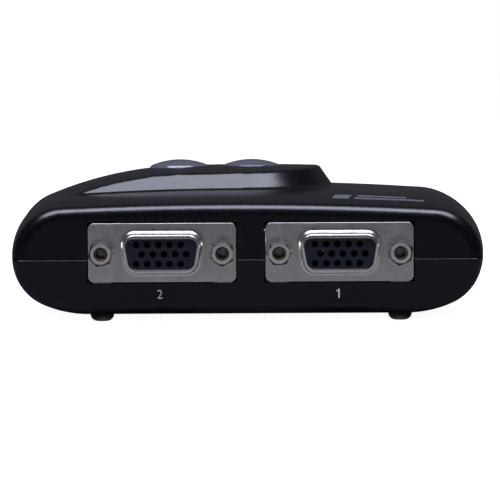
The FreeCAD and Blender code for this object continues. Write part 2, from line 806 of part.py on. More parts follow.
def make_switches():
    """Two tactile switches: base, cover, terminals, plunger and snap dome."""
    top = "button_board_height"
    base, cover, legs = new_body("bases"), new_body("covers"), new_body("terminals")
    blocks, wells = Drawing("XY", top, base), Drawing("XY", f"{top} + switch_base_depth", base)
    plates = Drawing("XY", f"{top} + switch_base_depth", cover)
    rings = Drawing("XY", f"{top} + switch_height", cover)
    feet = Drawing("XY", f"{top} + 0.9", legs)
    pins = Drawing("XY", f"{top} + 0.9", legs)
    for x in switch_places():
        blocks.block(x, "0", "switch_size", "switch_size")
        wells.circle(x, "0", "switch_cavity_radius")
        plates.block(x, "0", "switch_size", "switch_size")
        rings.circle(x, "0", "plunger_radius + 0.1")
        for side in ("-", "+"):
            for end in ("-", "+"):
                middle_x = f"{x} {side} (switch_size / 2 + 0.3)"
                feet.block(middle_x, f"{end}2.25", "0.58", "0.7")
                pins.block(f"{x} {side} (switch_size / 2 + 0.45)", f"{end}2.25", "0.28", "0.7")
    pad(base, blocks, "switch_base_depth")
    pocket(base, wells, "1.5")
    pad(cover, plates, "switch_height - switch_base_depth")
    pocket(cover, rings, "1")
    pad(legs, feet, "0.28")
    pad(legs, pins, "0.9 + board_thickness + 1.4", back=True)
    node(base, "switch_bases")
    node(cover, "switch_covers")
    node(legs, "switch_terminals")
    for which, x in enumerate(switch_places(), 1):
        floor = f"{top} + switch_base_depth - 1.5"
        dome = new_body(f"dome_{which}")
        pad(dome, Drawing("XY", f"{floor} + 0.02", dome).circle("0", "0", "2.2"), "0.12")
        pad(dome, Drawing("XY", f"{floor} + 0.14", dome).circle("0", "0", "1.3"), "0.3")
        soften(dome, "0.2", lambda e, z=floor: lies_flat(e, 2, number(f"{z} + 0.44")))
        place(dome, x)
        node(dome, f"snap_dome_{which}")
        plunger = new_body(f"plunger_{which}")
        low = f"{floor} + 1.05"
        pad(plunger, Drawing("XY", low, plunger).circle("0", "0", "switch_cavity_radius - 0.1"), "0.4")
        pad(plunger, Drawing("XY", low, plunger).circle("0", "0", "plunger_radius"), f"plunger_top - ({low})")
        pad(plunger, Drawing("XY", low, plunger).circle("0", "0", "1.0"), "0.55", back=True)
        place(plunger, x)
        node(plunger, f"switch_plunger_{which}")


def make_leds():
    """A round light beside each switch, under the cap, with its two leads."""
    lenses, leads = new_body("leds"), new_body("led_leads")
    rim, bulb = (Drawing("XY", "button_board_height + 0.3", lenses) for _ in range(2))
    wires = Drawing("XY", "button_board_height + 0.28", leads)
    for x in switch_places():
        rim.circle(x, "-led_offset", "led_radius + 0.3")
        bulb.circle(x, "-led_offset", "led_radius")
        for side in ("-", "+"):
            wires.block(f"{x} {side} 1.27", "-led_offset", "0.5", "0.5")
    pad(lenses, rim, "0.8")
    pad(lenses, bulb, "led_height")
    crown = number("button_board_height + 0.3 + led_height")
    soften(lenses, "led_radius - 0.1", lambda edge: lies_flat(edge, 2, crown))
    pad(leads, wires, "0.28 + board_thickness + 1.2", back=True)
    node(lenses, "button_leds")
    node(leads, "led_leads")


def make_button_board():
    """The small board under the deck that carries the switches and lights."""
    body = new_body("button_board")
    low = "button_board_height - board_thickness"
    outline = Drawing("XY", low, body)
    outline.block("button_board_centre", "0", "2 * button_board_half_width", "2 * button_board_half_depth")
    pad(body, outline, "board_thickness")
    soften(body, "1.5", lambda edge: runs_along(edge, 2))
    holes = Drawing("XY", "button_board_height", body)
    for x in switch_places():
        for side in ("-", "+"):
            holes.circle(f"{x} {side} 1.27", "-led_offset", "0.45")
            for end in ("-", "+"):
                holes.circle(f"{x} {side} (switch_size / 2 + 0.45)", f"{end}2.25", "0.5")
    for sign in ("-", "+"):
        holes.circle(f"button_board_centre {sign} board_boss_reach", "0", "1.3")
    for index in range(6):
        holes.circle(f"button_board_centre + {index - 2.5} * 2", "8.6", "0.4")
    pocket(body, holes, "3")
    node(body, "button_board")


def make_button_board_screws():
    body = new_body("button_board_screws")
    seat = "button_board_height - board_thickness"
    shank, head = Drawing("XY", seat, body), Drawing("XY", seat, body)
    slot, cross = Drawing("XY", f"{seat} - 1.3", body), Drawing("XY", f"{seat} - 1.3", body)
    for sign in ("-", "+"):
        x = f"button_board_centre {sign} board_boss_reach"
        shank.circle(x, "0", "1.0")
        head.circle(x, "0", "2.0")
        slot.block(x, "0", "2.2", "0.5")
        cross.block(x, "0", "0.5", "2.2")
    pad(body, shank, "5")
    pad(body, head, "1.3", back=True)
    soften(body, "0.4", lambda edge: lies_flat(edge, 2, number(f"{seat} - 1.3")))
    pocket(body, slot, "0.8", back=True)
    pocket(body, cross, "0.8", back=True)
    node(body, "button_board_screws")


def ribbon_ways(drawing, size):
    """The ribbon's six ways, as squares of that size."""
    for index in range(6):
        drawing.block(f"button_board_centre + {index - 2.5} * 2", "8.6", size, size)
    return drawing


def make_ribbon_ends():
    """A header on each board, its pins, and the plug crimped to that end of the cable."""
    x, y = "button_board_centre", "8.6"
    headers, plugs, pins = new_body("headers"), new_body("plugs"), new_body("header_pins")
    for floor, sign in (("board_top", "+"), ("button_board_height - board_thickness", "-")):
        down = sign == "-"
        mouth, bed, start = f"{floor} {sign} 3.2", f"{floor} {sign} 1.05", f"{floor} {sign} 0.95"
        pad(headers, Drawing("XY", floor, headers).block(x, y, "14", "4.6"), "3.2", back=down)
        pocket(headers, Drawing("XY", mouth, headers).block(x, y, "12.8", "3.4"), "2.2", back=down)
        pocket(headers, ribbon_ways(Drawing("XY", floor, headers), "0.52"), "1.2", back=not down)
        pad(plugs, Drawing("XY", bed, plugs).block(x, y, "12.6", "3.2"), "3.4", back=down)
        pocket(plugs, ribbon_ways(Drawing("XY", bed, plugs), "0.8"), "1.9", back=not down)
        pad(pins, ribbon_ways(Drawing("XY", start, pins), "0.5"), "1.6", back=down)
        ways = ribbon_ways(Drawing("XY", start, pins), "0.5")
        pad(pins, ways, "0.95 + board_thickness + 0.6", back=not down)
    node(headers, "ribbon_headers")
    node(plugs, "ribbon_plugs")
    node(pins, "ribbon_header_pins")


def make_ribbon_cable():
    """The short flat cable between the two plugs: six round wires side by side."""
    body = new_body("cable")
    start, end = "board_top + 4.47", "button_board_height - board_thickness - 4.47"
    web, wires = Drawing("XY", start, body), Drawing("XY", start, body)
    web.block("button_board_centre", "8.6", "10", "0.4")
    for index in range(6):
        wires.circle(f"button_board_centre + {index - 2.5} * 2", "8.6", "0.6")
    pad(body, web, f"{end} - ({start})")
    pad(body, wires, f"{end} - ({start})")
    node(body, "ribbon_cable")


# ---------------------------------------------------------------- monitor-type sockets

CONTACT_ROWS = ((1, -1, 14.0), (0, 1, 12.0), (-1, -1, 10.0))  # row, side shift, where the tails go down


def contact_places(row, shift):
    """The five contacts of a row, as expressions across and up."""
    across = (f"{index} * contact_pitch + {shift} * row_shift" for index in range(-2, 3))
    return [(x, f"{row} * row_pitch") for x in across]


def d_outline(offset, body, inset="0"):
    """The socket's D shape: wide side up, sides leaning in towards the bottom, round corners."""
    high, radius = f"(socket_height / 2 - ({inset}))", f"(socket_corner - ({inset}))"
    slant = "sqrt(1 + socket_slope^2)"
    wide = f"(socket_width / 2 - ({inset}) * {slant} + socket_slope * ({inset}))"
    upper_x = f"{wide} - {radius} * ({slant} + socket_slope)"
    lower_x = f"{wide} - 2 * socket_slope * {high} - {radius} * ({slant} - socket_slope)"
    corner_y = f"({high} - {radius})"
    lean, quarter = math.atan(number("socket_slope")), math.pi / 2
    hubs = [
        (f"-({lower_x})", f"-{corner_y}", math.pi + lean, 3 * quarter),
        (lower_x, f"-{corner_y}", -quarter, -lean),
        (upper_x, corner_y, -lean, quarter),
        (f"-({upper_x})", corner_y, quarter, math.pi + lean),
    ]
    drawing = Drawing("XZ", offset, body)
    arcs = []
    for x, y, start, end in hubs:
        circle = Part.Circle(Vector(number(x), number(y), 0), Vector(0, 0, 1), number(radius))
        arcs.append(Part.ArcOfCircle(circle, start, end))
    pieces = []
    for arc, following in zip(arcs, arcs[1:] + arcs[:1]):
        pieces += [arc, Part.LineSegment(arc.EndPoint, following.StartPoint)]
    drawing.sketch.addGeometry(pieces, False)
    for index in range(8):
        drawing.relate("Tangent", index, 2, (index + 1) % 8, 1)
    for index, (x, y, _, _) in enumerate(hubs):
        drawing.fix_point(2 * index, 3, x, y)
        drawing.fix("Radius", 2 * index, to=radius)
    return drawing


def face_port(item, x, rear):
    """Puts a socket's piece in its wall, facing out of the rear or the front."""
    if rear:
        return place(item, x, "-half_depth", "port_height")
    return place(item, x, "half_depth", "port_height", turn=HALF_TURN)


def make_port_shell(name, x, rear):
    """The drawn metal front: a flange with two holes and a D-shaped collar."""
    body = new_body(f"{name}_shell")
    flange = Drawing("XZ", "0", body).block("0", "0", "flange_width", "flange_height")
    pad(body, flange, "flange_depth", back=True)
    soften(body, "flange_corner", lambda edge: runs_along(edge, 1))
    pad(body, d_outline("0", body), "socket_reach")

    def is_collar_foot(edge):
        return lies_flat(edge, 1, 0) and abs(middle(edge).x) < 10 and abs(middle(edge).z) < 5

    def is_flange_rim(edge):
        return lies_flat(edge, 1, 0) and (abs(middle(edge).x) > 14 or abs(middle(edge).z) > 5.9)

    soften(body, "0.75", is_collar_foot)
    soften(body, "0.6", lambda edge: lies_flat(edge, 1, -number("socket_reach")))
    soften(body, "0.12", is_flange_rim)
    pocket(body, d_outline("socket_reach", body, "socket_skin"), "socket_reach + 2")
    holes = Drawing("XZ", "0", body)
    for side in ("-", ""):
        holes.circle(f"{side}jack_pitch / 2", "0", "jack_shank_radius + 0.2")
    pocket(body, holes, "2")
    node(face_port(body, x, rear), f"{name}_shell")


def make_port_insulator(name, x, rear):
    """The plastic block with fifteen contact holes, filling the collar and standing on the board."""
    body = new_body(f"{name}_insulator")
    inset = "socket_skin + nose_gap"
    pad(body, d_outline("-flange_depth - 0.02", body, inset), "nose_reach + flange_depth + 0.02")
    block = Drawing("XZ", "-flange_depth - 0.02", body)
    block.rectangle("-9.3", "board_top - port_height + 0.02", "9.3", "4.4")
    pad(body, block, "7.2", back=True)
    holes = Drawing("XZ", "nose_reach", body)
    for row, shift, _ in CONTACT_ROWS:
        for u, v in contact_places(row, shift):
            holes.circle(u, v, "contact_hole_radius")
    pocket(body, holes, "30")
    node(face_port(body, x, rear), f"{name}_insulator")


def make_port_brackets(name, x, rear):
    """A metal bracket behind each end of the flange, with a foot on the board and a leg through it."""
    body = new_body(f"{name}_brackets")
    floor = "board_top - port_height"
    plates, holes = Drawing("XZ", "-flange_depth - 0.02", body), Drawing("XZ", "-flange_depth - 0.02", body)
    feet = Drawing("XY", f"{floor} + 0.02", body)
    legs = Drawing("XY", f"{floor} + 0.5", body)
    for side in ("-", ""):
        centre = f"{side}jack_pitch / 2"
        left, right = f"{centre} - bracket_half_width", f"{centre} + bracket_half_width"
        plates.rectangle(left, f"{floor} + 0.02", right, "4.6")
        holes.circle(centre, "0", "jack_shank_radius + 0.05")
        feet.rectangle(left, "flange_depth + 0.02", right, "9")
        legs.rectangle(f"{centre} - 0.9", "5", f"{centre} + 0.9", "5.6")
    pad(body, plates, "2", back=True)
    pocket(body, holes, "4")
    pad(body, feet, "0.9")
    pad(body, legs, "0.5 + board_thickness + 1.5", back=True)
    node(face_port(body, x, rear), f"{name}_brackets")


def make_port_contacts(name, x, rear):
    """Fifteen sprung sockets, bent down behind the block into the board."""
    body = new_body(f"{name}_contacts")
    tail_end = "board_top - port_height - board_thickness - 1.2"
    bores = Drawing("XZ", "nose_reach - contact_recess", body)
    for row, shift, back in CONTACT_ROWS:
        rods = Drawing("XZ", "nose_reach - contact_recess", body)
        tails = Drawing("XY", tail_end, body)
        for u, v in contact_places(row, shift):
            rods.circle(u, v, "contact_radius")
            tails.block(u, str(back), "0.6", "0.6")
            bores.circle(u, v, "contact_radius - 0.15")
        pad(body, rods, f"nose_reach - contact_recess + {back} + 0.3", back=True)
        pad(body, tails, f"{row} * row_pitch - ({tail_end})")
    pocket(body, bores, "3")
    node(face_port(body, x, rear), f"{name}_contacts")


def make_jack_screws(name, x, rear, spins):
    """Two hexagonal jack screws, each turned to its own angle, with a threaded bore in front."""
    screws = []
    for side, spin in zip(("-", ""), spins):
        centre = f"{side}jack_pitch / 2"
        hexagon = document.addObject("Part::Prism", "hexagon")
        hexagon.Polygon = 6
        bind(hexagon, "Circumradius", "jack_flats / sqrt(3)")
        bind(hexagon, "Height", "jack_reach")
        place(hexagon, centre, turn=FORWARD * Rotation(Vector(0, 0, 1), spin))
        wide = "jack_face_radius + 0.58 * jack_reach"
        taper = cone("taper", (centre, "0", "0"), wide, "jack_face_radius", "jack_reach", FORWARD)
        shank = rod("shank", (centre, "0", "0"), "jack_shank_radius", "5", BACKWARD)
        bore = rod("bore", (centre, "-0.5", "0"), "jack_bore_radius", "jack_reach", FORWARD)
        start = (centre, "0.6 - jack_reach", "0")
        mouth = cone("mouth", start, "jack_bore_radius", "jack_mouth_radius", "0.6", FORWARD)
        outside = fuse("jack_outside", [common("jack_head", hexagon, taper), shank])
        screws.append(cut("jack_screw", outside, [bore, mouth]))
    node(face_port(group(f"{name}_screws", screws), x, rear), f"{name}_jack_screws")


def make_port(name, x, rear, spins):
    make_port_shell(name, x, rear)
    make_port_insulator(name, x, rear)
    make_port_brackets(name, x, rear)
    make_port_contacts(name, x, rear)
    make_jack_screws(name, x, rear, spins)


# ---------------------------------------------------------------- type A sockets


def make_usb_socket(name, x):
    """A type A socket: folded metal shield, plastic tongue and four contacts."""
    shield, tongue, strips = (new_body(f"{name}_{kind}") for kind in ("shield", "tongue", "contacts"))
    floor = "board_top - usb_height"
    inner_width, inner_tall = "usb_width - 2 * usb_skin", "usb_tall - 2 * usb_skin"
    pad(shield, Drawing("XZ", "0", shield).block("0", "0", "usb_width", "usb_tall"), "usb_depth", back=True)
    soften(shield, "0.6", lambda edge: runs_along(edge, 1))
    lip_wide, lip_tall = "usb_width + 2 * usb_lip", "usb_tall + 2 * usb_lip"
    pad(shield, Drawing("XZ", "0", shield).block("0", "0", lip_wide, lip_tall), "usb_skin", back=True)
    soften(shield, "1.2", lambda e: runs_along(e, 1) and abs(middle(e).x) > number("usb_width / 2 + 0.3"))
    hollow = Drawing("XZ", "0", shield).block("0", "0", inner_width, inner_tall)
    pocket(shield, hollow, "usb_depth - usb_skin")
    windows = Drawing("XY", "usb_tall / 2 + 1", shield)
    legs = Drawing("XY", "-usb_tall / 2 + 0.1", shield)
    for side in ("-", ""):
        windows.block(f"{side}3.2", "5.5", "1.9", "3.6")
        for y in ("3.2", "10.8"):
            legs.block(f"{side}(usb_width / 2 - 0.25)", y, "0.4", "1.6")
    pocket(shield, windows, "usb_tall + 2")
    pad(shield, legs, f"-usb_tall / 2 + 0.1 - ({floor}) + board_thickness + 1.3", back=True)
    node(place(shield, x, "half_depth", "usb_height", turn=HALF_TURN), f"{name}_shield")

    back_block = Drawing("XZ", "-9.6", tongue)
    back_block.block("0", "0", f"{inner_width} - 0.1", f"{inner_tall} - 0.1")
    pad(tongue, back_block, "4", back=True)
    blade = Drawing("XZ", "-9.6", tongue)
    blade.block("0", "usb_tongue_centre", "usb_tongue_width", "usb_tongue_thickness")
    pad(tongue, blade, "9")
    soften(tongue, "0.4", lambda e: lies_flat(e, 1, 0.6) and runs_along(e, 0))
    grooves = Drawing("XZ", "-1.6", tongue)
    flat = Drawing("XY", "usb_tongue_centre - usb_tongue_thickness / 2", strips)
    tails = Drawing("XY", f"{floor} - board_thickness - 1.2", strips)
    for u in ("-3.5", "-1", "1", "3.5"):
        grooves.rectangle(f"{u} - 0.55", "usb_tongue_centre - usb_tongue_thickness / 2 - 0.3", f"{u} + 0.55",
                          "usb_tongue_centre - usb_tongue_thickness / 2 + 0.3")
        flat.rectangle(f"{u} - 0.5", "2", f"{u} + 0.5", "14.6")
        tails.block(u, "14.8", "0.6", "0.4")
    pocket(tongue, grooves, "13")
    pad(strips, flat, "0.25")
    tail_top = "usb_tongue_centre - usb_tongue_thickness / 2 + 0.25"
    pad(strips, tails, f"{tail_top} - ({floor} - board_thickness - 1.2)")
    node(place(tongue, x, "half_depth", "usb_height", turn=HALF_TURN), f"{name}_tongue")
    node(place(strips, x, "half_depth", "usb_height", turn=HALF_TURN), f"{name}_contacts")
    escape = Drawing("XZ", f"-usb_depth + 1", shield)
    for u in ("-3.5", "-1", "1", "3.5"):
        escape.block(u, "usb_tongue_centre - usb_tongue_thickness / 2 + 0.1", "1.3", "0.9")
    pocket(shield, escape, "3")


# ---------------------------------------------------------------- main board


def port_list():
    """Each monitor-type socket: its name, place across, whether it is at the rear, and its screws' angles."""
    return [
        ("port_1", "port_centre + port_pitch / 2", True, (4, 22)),
        ("port_2", "port_centre - port_pitch / 2", True, (14, 30)),
        ("monitor_port", "-port_pitch / 2", False, (9, 26)),
    ]


def make_main_board():
    """The main circuit board, drilled for every lead, leg and screw boss."""
    body = new_body("main_board")
    low = "board_top - board_thickness"
    sheet = Drawing("XY", low, body).block("0", "0", "2 * board_half_width", "2 * board_half_depth")
    pad(body, sheet, "board_thickness")
    soften(body, "board_corner", lambda edge: runs_along(edge, 2))
    holes = Drawing("XY", "board_top", body)
    for x, y in corners("screw_x", "screw_y"):
        holes.circle(x, y, "screw_radius + 0.35")
    for _, x, rear, _ in port_list():
        way, start = ("", "-half_depth +") if rear else ("-", "half_depth -")
        for side in ("-", "+"):
            holes.circle(f"{x} {side} jack_pitch / 2", f"{start} 5.3", "1.1")
        for row, shift, back in CONTACT_ROWS:
            for u, _ in contact_places(row, shift):
                holes.circle(f"{x} + {way}({u})", f"{start} {back}", "0.5")
    for x in ("usb_keyboard_place", "usb_mouse_place"):
        for side in ("-", "+"):
            for y in ("3.2", "10.8"):
                holes.circle(f"{x} {side} (usb_width / 2 - 0.25)", f"half_depth - {y}", "0.95")
        for u in ("-3.5", "-1", "1", "3.5"):
            holes.circle(f"{x} + {u}", "half_depth - 14.8", "0.45")
    for index in range(6):
        holes.circle(f"button_board_centre + {index - 2.5} * 2", "8.6", "0.4")
    pocket(body, holes, "3")
    node(body, "main_board")


def row_of_leads(body, x, y, count, pitch, along_x):
    """A row of flat leads centred on x and y, running along X or along Y."""
    feet = Drawing("XY", "board_top + 0.01", body)
    size = ("0.34", "0.86") if along_x else ("0.86", "0.34")
    for index in range(count):
        step = (index - (count - 1) / 2) * pitch
        centre = (f"{x} + {step}", str(y)) if along_x else (str(x), f"{y} + {step}")
        feet.block(*centre, *size)
    pad(body, feet, "0.5")


def make_chips():
    """The controller and the picture switches, with their leads."""
    cases, leads, controller = new_body("picture_chips"), new_body("chip_leads"), new_body("controller")
    top = "board_top"
    pad(controller, Drawing("XY", f"{top} + 0.12", controller).block("14", "4", "10", "10"), "1.4")
    soften(controller, "0.35", lambda e: lies_flat(e, 2, number(f"{top} + 1.52")))
    case = Drawing("XY", f"{top} + 0.12", cases)
    for x in (-12, 0, 12):
        case.block(str(x), "-13", "4.4", "6.4")
    pad(cases, case, "1.3")
    soften(cases, "0.3", lambda e: lies_flat(e, 2, number(f"{top} + 1.42")))
    for side in (-1, 1):
        for x in (-12, 0, 12):
            row_of_leads(leads, x + side * 2.65, -13, 7, 0.85, along_x=False)
        row_of_leads(leads, 14 + side * 5.45, 4, 11, 0.8, along_x=False)
        row_of_leads(leads, 14, 4 + side * 5.45, 11, 0.8, along_x=True)
    node(controller, "controller_chip")
    node(cases, "picture_switch_chips")
    node(leads, "chip_leads")


def make_small_parts():
    """The crystal, three can capacitors, the regulator and the rows of small chip parts."""
    top = "board_top"
    crystal = new_body("crystal")
    pad(crystal, Drawing("XY", f"{top} + 0.02", crystal).block("24.6", "-5", "4.6", "11"), "3.4")
    soften(crystal, "2.2", lambda e: runs_along(e, 2))
    soften(crystal, "0.4", lambda e: lies_flat(e, 2, number(f"{top} + 3.42")))
    node(crystal, "crystal_can")
    cans = new_body("cans")
    base, can = Drawing("XY", f"{top} + 0.02", cans), Drawing("XY", f"{top} + 0.62", cans)
    for x, y in (("-24", "-3"), ("-24", "5"), ("-15.5", "-3")):
        base.block(x, y, "6.6", "6.6")
        can.circle(x, y, "3.1")
    pad(cans, base, "0.6")
    pad(cans, can, "6.4")
    soften(cans, "0.4", lambda e: lies_flat(e, 2, number(f"{top} + 7.02")))
    node(cans, "can_capacitors")
    regulator = new_body("regulator")
    pad(regulator, Drawing("XY", f"{top} + 0.02", regulator).block("33", "-3.5", "3.5", "6.5"), "1.7")
    pad(regulator, Drawing("XY", f"{top} + 0.02", regulator).block("33", "-3.5", "7.2", "3"), "0.5")
    node(regulator, "voltage_regulator")
    resistors, capacitors = new_body("resistors"), new_body("capacitors")
    back, front = Drawing("XY", f"{top} + 0.02", resistors), Drawing("XY", f"{top} + 0.02", resistors)
    tall = Drawing("XY", f"{top} + 0.02", capacitors)
    for index in range(10):
        back.block(f"{-18 + index * 3.2}", "-19.2", "1.6", "0.8")
        front.block(f"{-7 + index * 1.6}", "13.6", "0.8", "1.6")
        tall.block(f"{-17 + index * 3.2}", "-7.6", "0.8", "1.6")
    pad(resistors, back, "0.5")
    pad(resistors, front, "0.5")
    pad(capacitors, tall, "0.8")
    node(resistors, "chip_resistors")
    node(capacitors, "chip_capacitors")


# ---------------------------------------------------------------- build and write


def check_document():
    """Stops the build if any object failed or any sub-part is empty or not valid."""
    failed = [item.Name for item in document.Objects if {"Invalid", "Error"} & set(item.State)]
    if failed:
        raise RuntimeError(f"these objects failed: {failed}")
    for item in NODES:
        if item.Shape.isNull() or not item.Shape.isValid() or not item.Shape.Solids:
            raise RuntimeError(f"sub-part {item.Label} has no valid shape")


def write_parts():
    os.makedirs("parts", exist_ok=True)
    for item in NODES:
        item.Shape.exportStep(f"parts/{item.Label}.step")
        print(f"{item.Label}: {len(item.Shape.Solids)} solids, {item.Shape.Volume:.1f} mm3")


def main():
    fill_sheet()
    outer = housing_form("outer_form", "half_depth + 1")
    inner = housing_form("inner_form", "half_depth - wall", "wall")
    make_top_shell(outer, inner)
    make_bottom_shell(outer, inner)
    make_label()
    make_screws()
    make_feet()
    for which, x in enumerate(switch_places(), 1):
        make_button(which, x)
    make_switches()
    make_leds()
    make_button_board()
    make_button_board_screws()
    make_ribbon_ends()
    make_ribbon_cable()
    for port in port_list():
        make_port(*port)
    make_usb_socket("usb_keyboard", "usb_keyboard_place")
    make_usb_socket("usb_mouse", "usb_mouse_place")
    make_main_board()
    make_chips()
    make_small_parts()
    document.recompute()
    check_document()
    write_parts()


main()
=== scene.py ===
"""The looks of a two-port desktop KVM switch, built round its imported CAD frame.

Every length is in metres in the row frame: +Z up, the rear face with the two computer ports towards -Y.
"""
import json
import math

import bmesh
import bpy
from mathutils import Matrix, Vector
from mathutils.bvhtree import BVHTree


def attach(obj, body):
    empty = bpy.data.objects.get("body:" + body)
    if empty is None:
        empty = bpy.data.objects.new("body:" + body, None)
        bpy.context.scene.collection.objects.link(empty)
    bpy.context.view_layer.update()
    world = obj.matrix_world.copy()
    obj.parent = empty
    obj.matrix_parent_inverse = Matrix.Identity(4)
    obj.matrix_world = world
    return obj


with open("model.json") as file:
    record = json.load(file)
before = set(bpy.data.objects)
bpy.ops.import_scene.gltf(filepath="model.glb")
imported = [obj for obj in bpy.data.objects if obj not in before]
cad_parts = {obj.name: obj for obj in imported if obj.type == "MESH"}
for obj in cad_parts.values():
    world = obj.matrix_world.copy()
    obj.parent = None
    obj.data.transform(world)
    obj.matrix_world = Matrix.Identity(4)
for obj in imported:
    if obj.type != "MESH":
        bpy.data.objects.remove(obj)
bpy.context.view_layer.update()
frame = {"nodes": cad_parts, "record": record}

MM = 0.001
NODES = frame["nodes"]
PORTS = {  # each video socket's middle across, and the way it faces
    "port_1": (19.04 * MM, -1),
    "port_2": (-17.64 * MM, -1),
    "monitor_port": (-18.34 * MM, 1),
}
PORT_HEIGHT = 14.73 * MM
JACK_PITCH = 24.99 * MM
JACK_REACH = 5.0 * MM
HALF_DEPTH = 36 * MM
END_DRAFT = 0.026
PARTING_HEIGHT = 13.3 * MM


# ---------------------------------------------------------------- material toolkit

HOLLOW_REACH = 3.0 * MM


class Shader:
    """A node material with one Principled surface and a millimetre coordinate for its textures."""

    def __init__(self, name, colour, roughness, metallic=0.0, **extra):
        self.material = bpy.data.materials.new(name)
        self.material.use_nodes = True
        self.tree = self.material.node_tree
        self.tree.nodes.clear()
        output = self.tree.nodes.new("ShaderNodeOutputMaterial")
        self.surface = self.tree.nodes.new("ShaderNodeBsdfPrincipled")
        self.link(self.surface.outputs[0], output.inputs["Surface"])
        self.set("Base Color", (*colour, 1.0))
        self.set("Roughness", roughness)
        self.set("Metallic", metallic)
        for key, value in extra.items():
            self.set(key.replace("_", " "), value)
        self.colour = colour
        self.height = None
        where = self.tree.nodes.new("ShaderNodeTexCoord")
        scaled = self.tree.nodes.new("ShaderNodeVectorMath")
        scaled.operation = "SCALE"
        scaled.inputs["Scale"].default_value = 1 / MM
        self.link(where.outputs["Object"], scaled.inputs[0])
        self.where = scaled.outputs[0]

    def link(self, source, target):
        """Joins one node's output to another's input."""
        self.tree.links.new(source, target)

    def set(self, name, value):
        """Sets a plain value on the Principled surface."""
        self.surface.inputs[name].default_value = value

    def stretched(self, stretch):
        """The millimetre coordinate, multiplied axis by axis."""
        node = self.tree.nodes.new("ShaderNodeVectorMath")
        node.operation = "MULTIPLY"
        node.inputs[1].default_value = stretch
        self.link(self.where, node.inputs[0])
        return node.outputs[0]

    def noise(self, per_mm, detail=3.0, stretch=None, distortion=0.0):
        """Cloudy noise with that many features to the millimetre."""
        node = self.tree.nodes.new("ShaderNodeTexNoise")
        node.inputs["Scale"].default_value = per_mm
        node.inputs["Detail"].default_value = detail
        node.inputs["Distortion"].default_value = distortion
        self.link(self.stretched(stretch) if stretch else self.where, node.inputs["Vector"])
        return node.outputs["Fac"]

    def cells(self, per_mm):
        """Crystal-like cells, that many to the millimetre."""
        node = self.tree.nodes.new("ShaderNodeTexVoronoi")
        node.inputs["Scale"].default_value = per_mm
        self.link(self.where, node.inputs["Vector"])
        return node.outputs["Distance"]

    def ranged(self, value, low, high, start=0.3, end=0.7):
        """Maps a texture's start to end range on to low to high."""
        node = self.tree.nodes.new("ShaderNodeMapRange")
        self.link(value, node.inputs["Value"])
        for name, number in (("From Min", start), ("From Max", end), ("To Min", low), ("To Max", high)):
            node.inputs[name].default_value = number
        return node.outputs["Result"]

    def vary_roughness(self, value, low, high):
        """Lets the roughness follow a texture."""
        self.link(self.ranged(value, low, high), self.surface.inputs["Roughness"])

    def vary_colour(self, value, other, start=0.35, end=0.65):
        """Blends the base colour towards another where the texture is high."""
        mix = self.tree.nodes.new("ShaderNodeMix")
        mix.data_type = "RGBA"
        self.link(self.ranged(value, 0.0, 1.0, start, end), mix.inputs["Factor"])
        source = self.surface.inputs["Base Color"]
        if source.is_linked:
            self.link(source.links[0].from_socket, mix.inputs["A"])
        else:
            mix.inputs["A"].default_value = (*self.colour, 1.0)
        mix.inputs["B"].default_value = (*other, 1.0)
        self.link(mix.outputs["Result"], source)

    def paint_shade_in_hollows(self, open_share):
        """Paints shade into the base colour: darkens it where less than a share of the space close round it
        is open.
        """
        crowding = self.tree.nodes.new("ShaderNodeAmbientOcclusion")
        crowding.samples = 8
        crowding.inputs["Distance"].default_value = HOLLOW_REACH
        scaled = self.tree.nodes.new("ShaderNodeVectorMath")
        scaled.operation = "SCALE"
        source = self.surface.inputs["Base Color"]
        self.link(source.links[0].from_socket, scaled.inputs[0])
        self.link(self.ranged(crowding.outputs["AO"], 0.0, 1.0, 0.1, open_share), scaled.inputs["Scale"])
        self.link(scaled.outputs[0], source)

    def bump(self, value, depth_mm, strength):
        """Adds a layer of relief of that depth."""
        node = self.tree.nodes.new("ShaderNodeBump")
        node.inputs["Strength"].default_value = strength
        node.inputs["Distance"].default_value = depth_mm * MM
        self.link(value, node.inputs["Height"])
        if self.height:
            self.link(self.height, node.inputs["Normal"])
        self.height = node.outputs["Normal"]
        self.link(self.height, self.surface.inputs["Normal"])


# ---------------------------------------------------------------- materials, one function each


def black_plastic():
    """Satin moulded housing plastic with a fine spark-eroded grain."""
    look = Shader("black_plastic", (0.0008, 0.0009, 0.0014), 0.25)
    look.vary_colour(look.noise(0.35, 4), (0.0013, 0.0014, 0.0021))
    look.vary_roughness(look.noise(1.1, 4), 0.235, 0.27)
    look.bump(look.noise(7.0, 2), 0.003, 0.35)
    return look


def smoky_plastic():
    """Glossy smoke-grey button plastic, slightly cloudy."""
    look = Shader("smoky_plastic", (0.074, 0.077, 0.096), 0.22, Coat_Weight=0.5, Coat_Roughness=0.12)
    look.vary_colour(look.noise(0.25, 3), (0.088, 0.091, 0.112))
    look.vary_roughness(look.noise(1.6, 3), 0.13, 0.20)
    look.bump(look.noise(6.0, 2), 0.002, 0.3)
    return look


def nickel_shell():
    """Dull nickel plate over drawn steel: a fine grain, faintly clouded by the plating and by handling."""
    look = Shader("nickel_shell", (0.53, 0.495, 0.47), 0.30, 1.0)
    look.vary_colour(look.noise(0.35, 4, distortion=0.4), (0.45, 0.415, 0.385))
    look.vary_colour(look.noise(5.5, 2), (0.72, 0.69, 0.66), 0.52, 0.80)
    look.vary_roughness(look.noise(1.2, 4), 0.26, 0.34)
    look.bump(look.noise(5.0, 3), 0.004, 0.35)
    return look


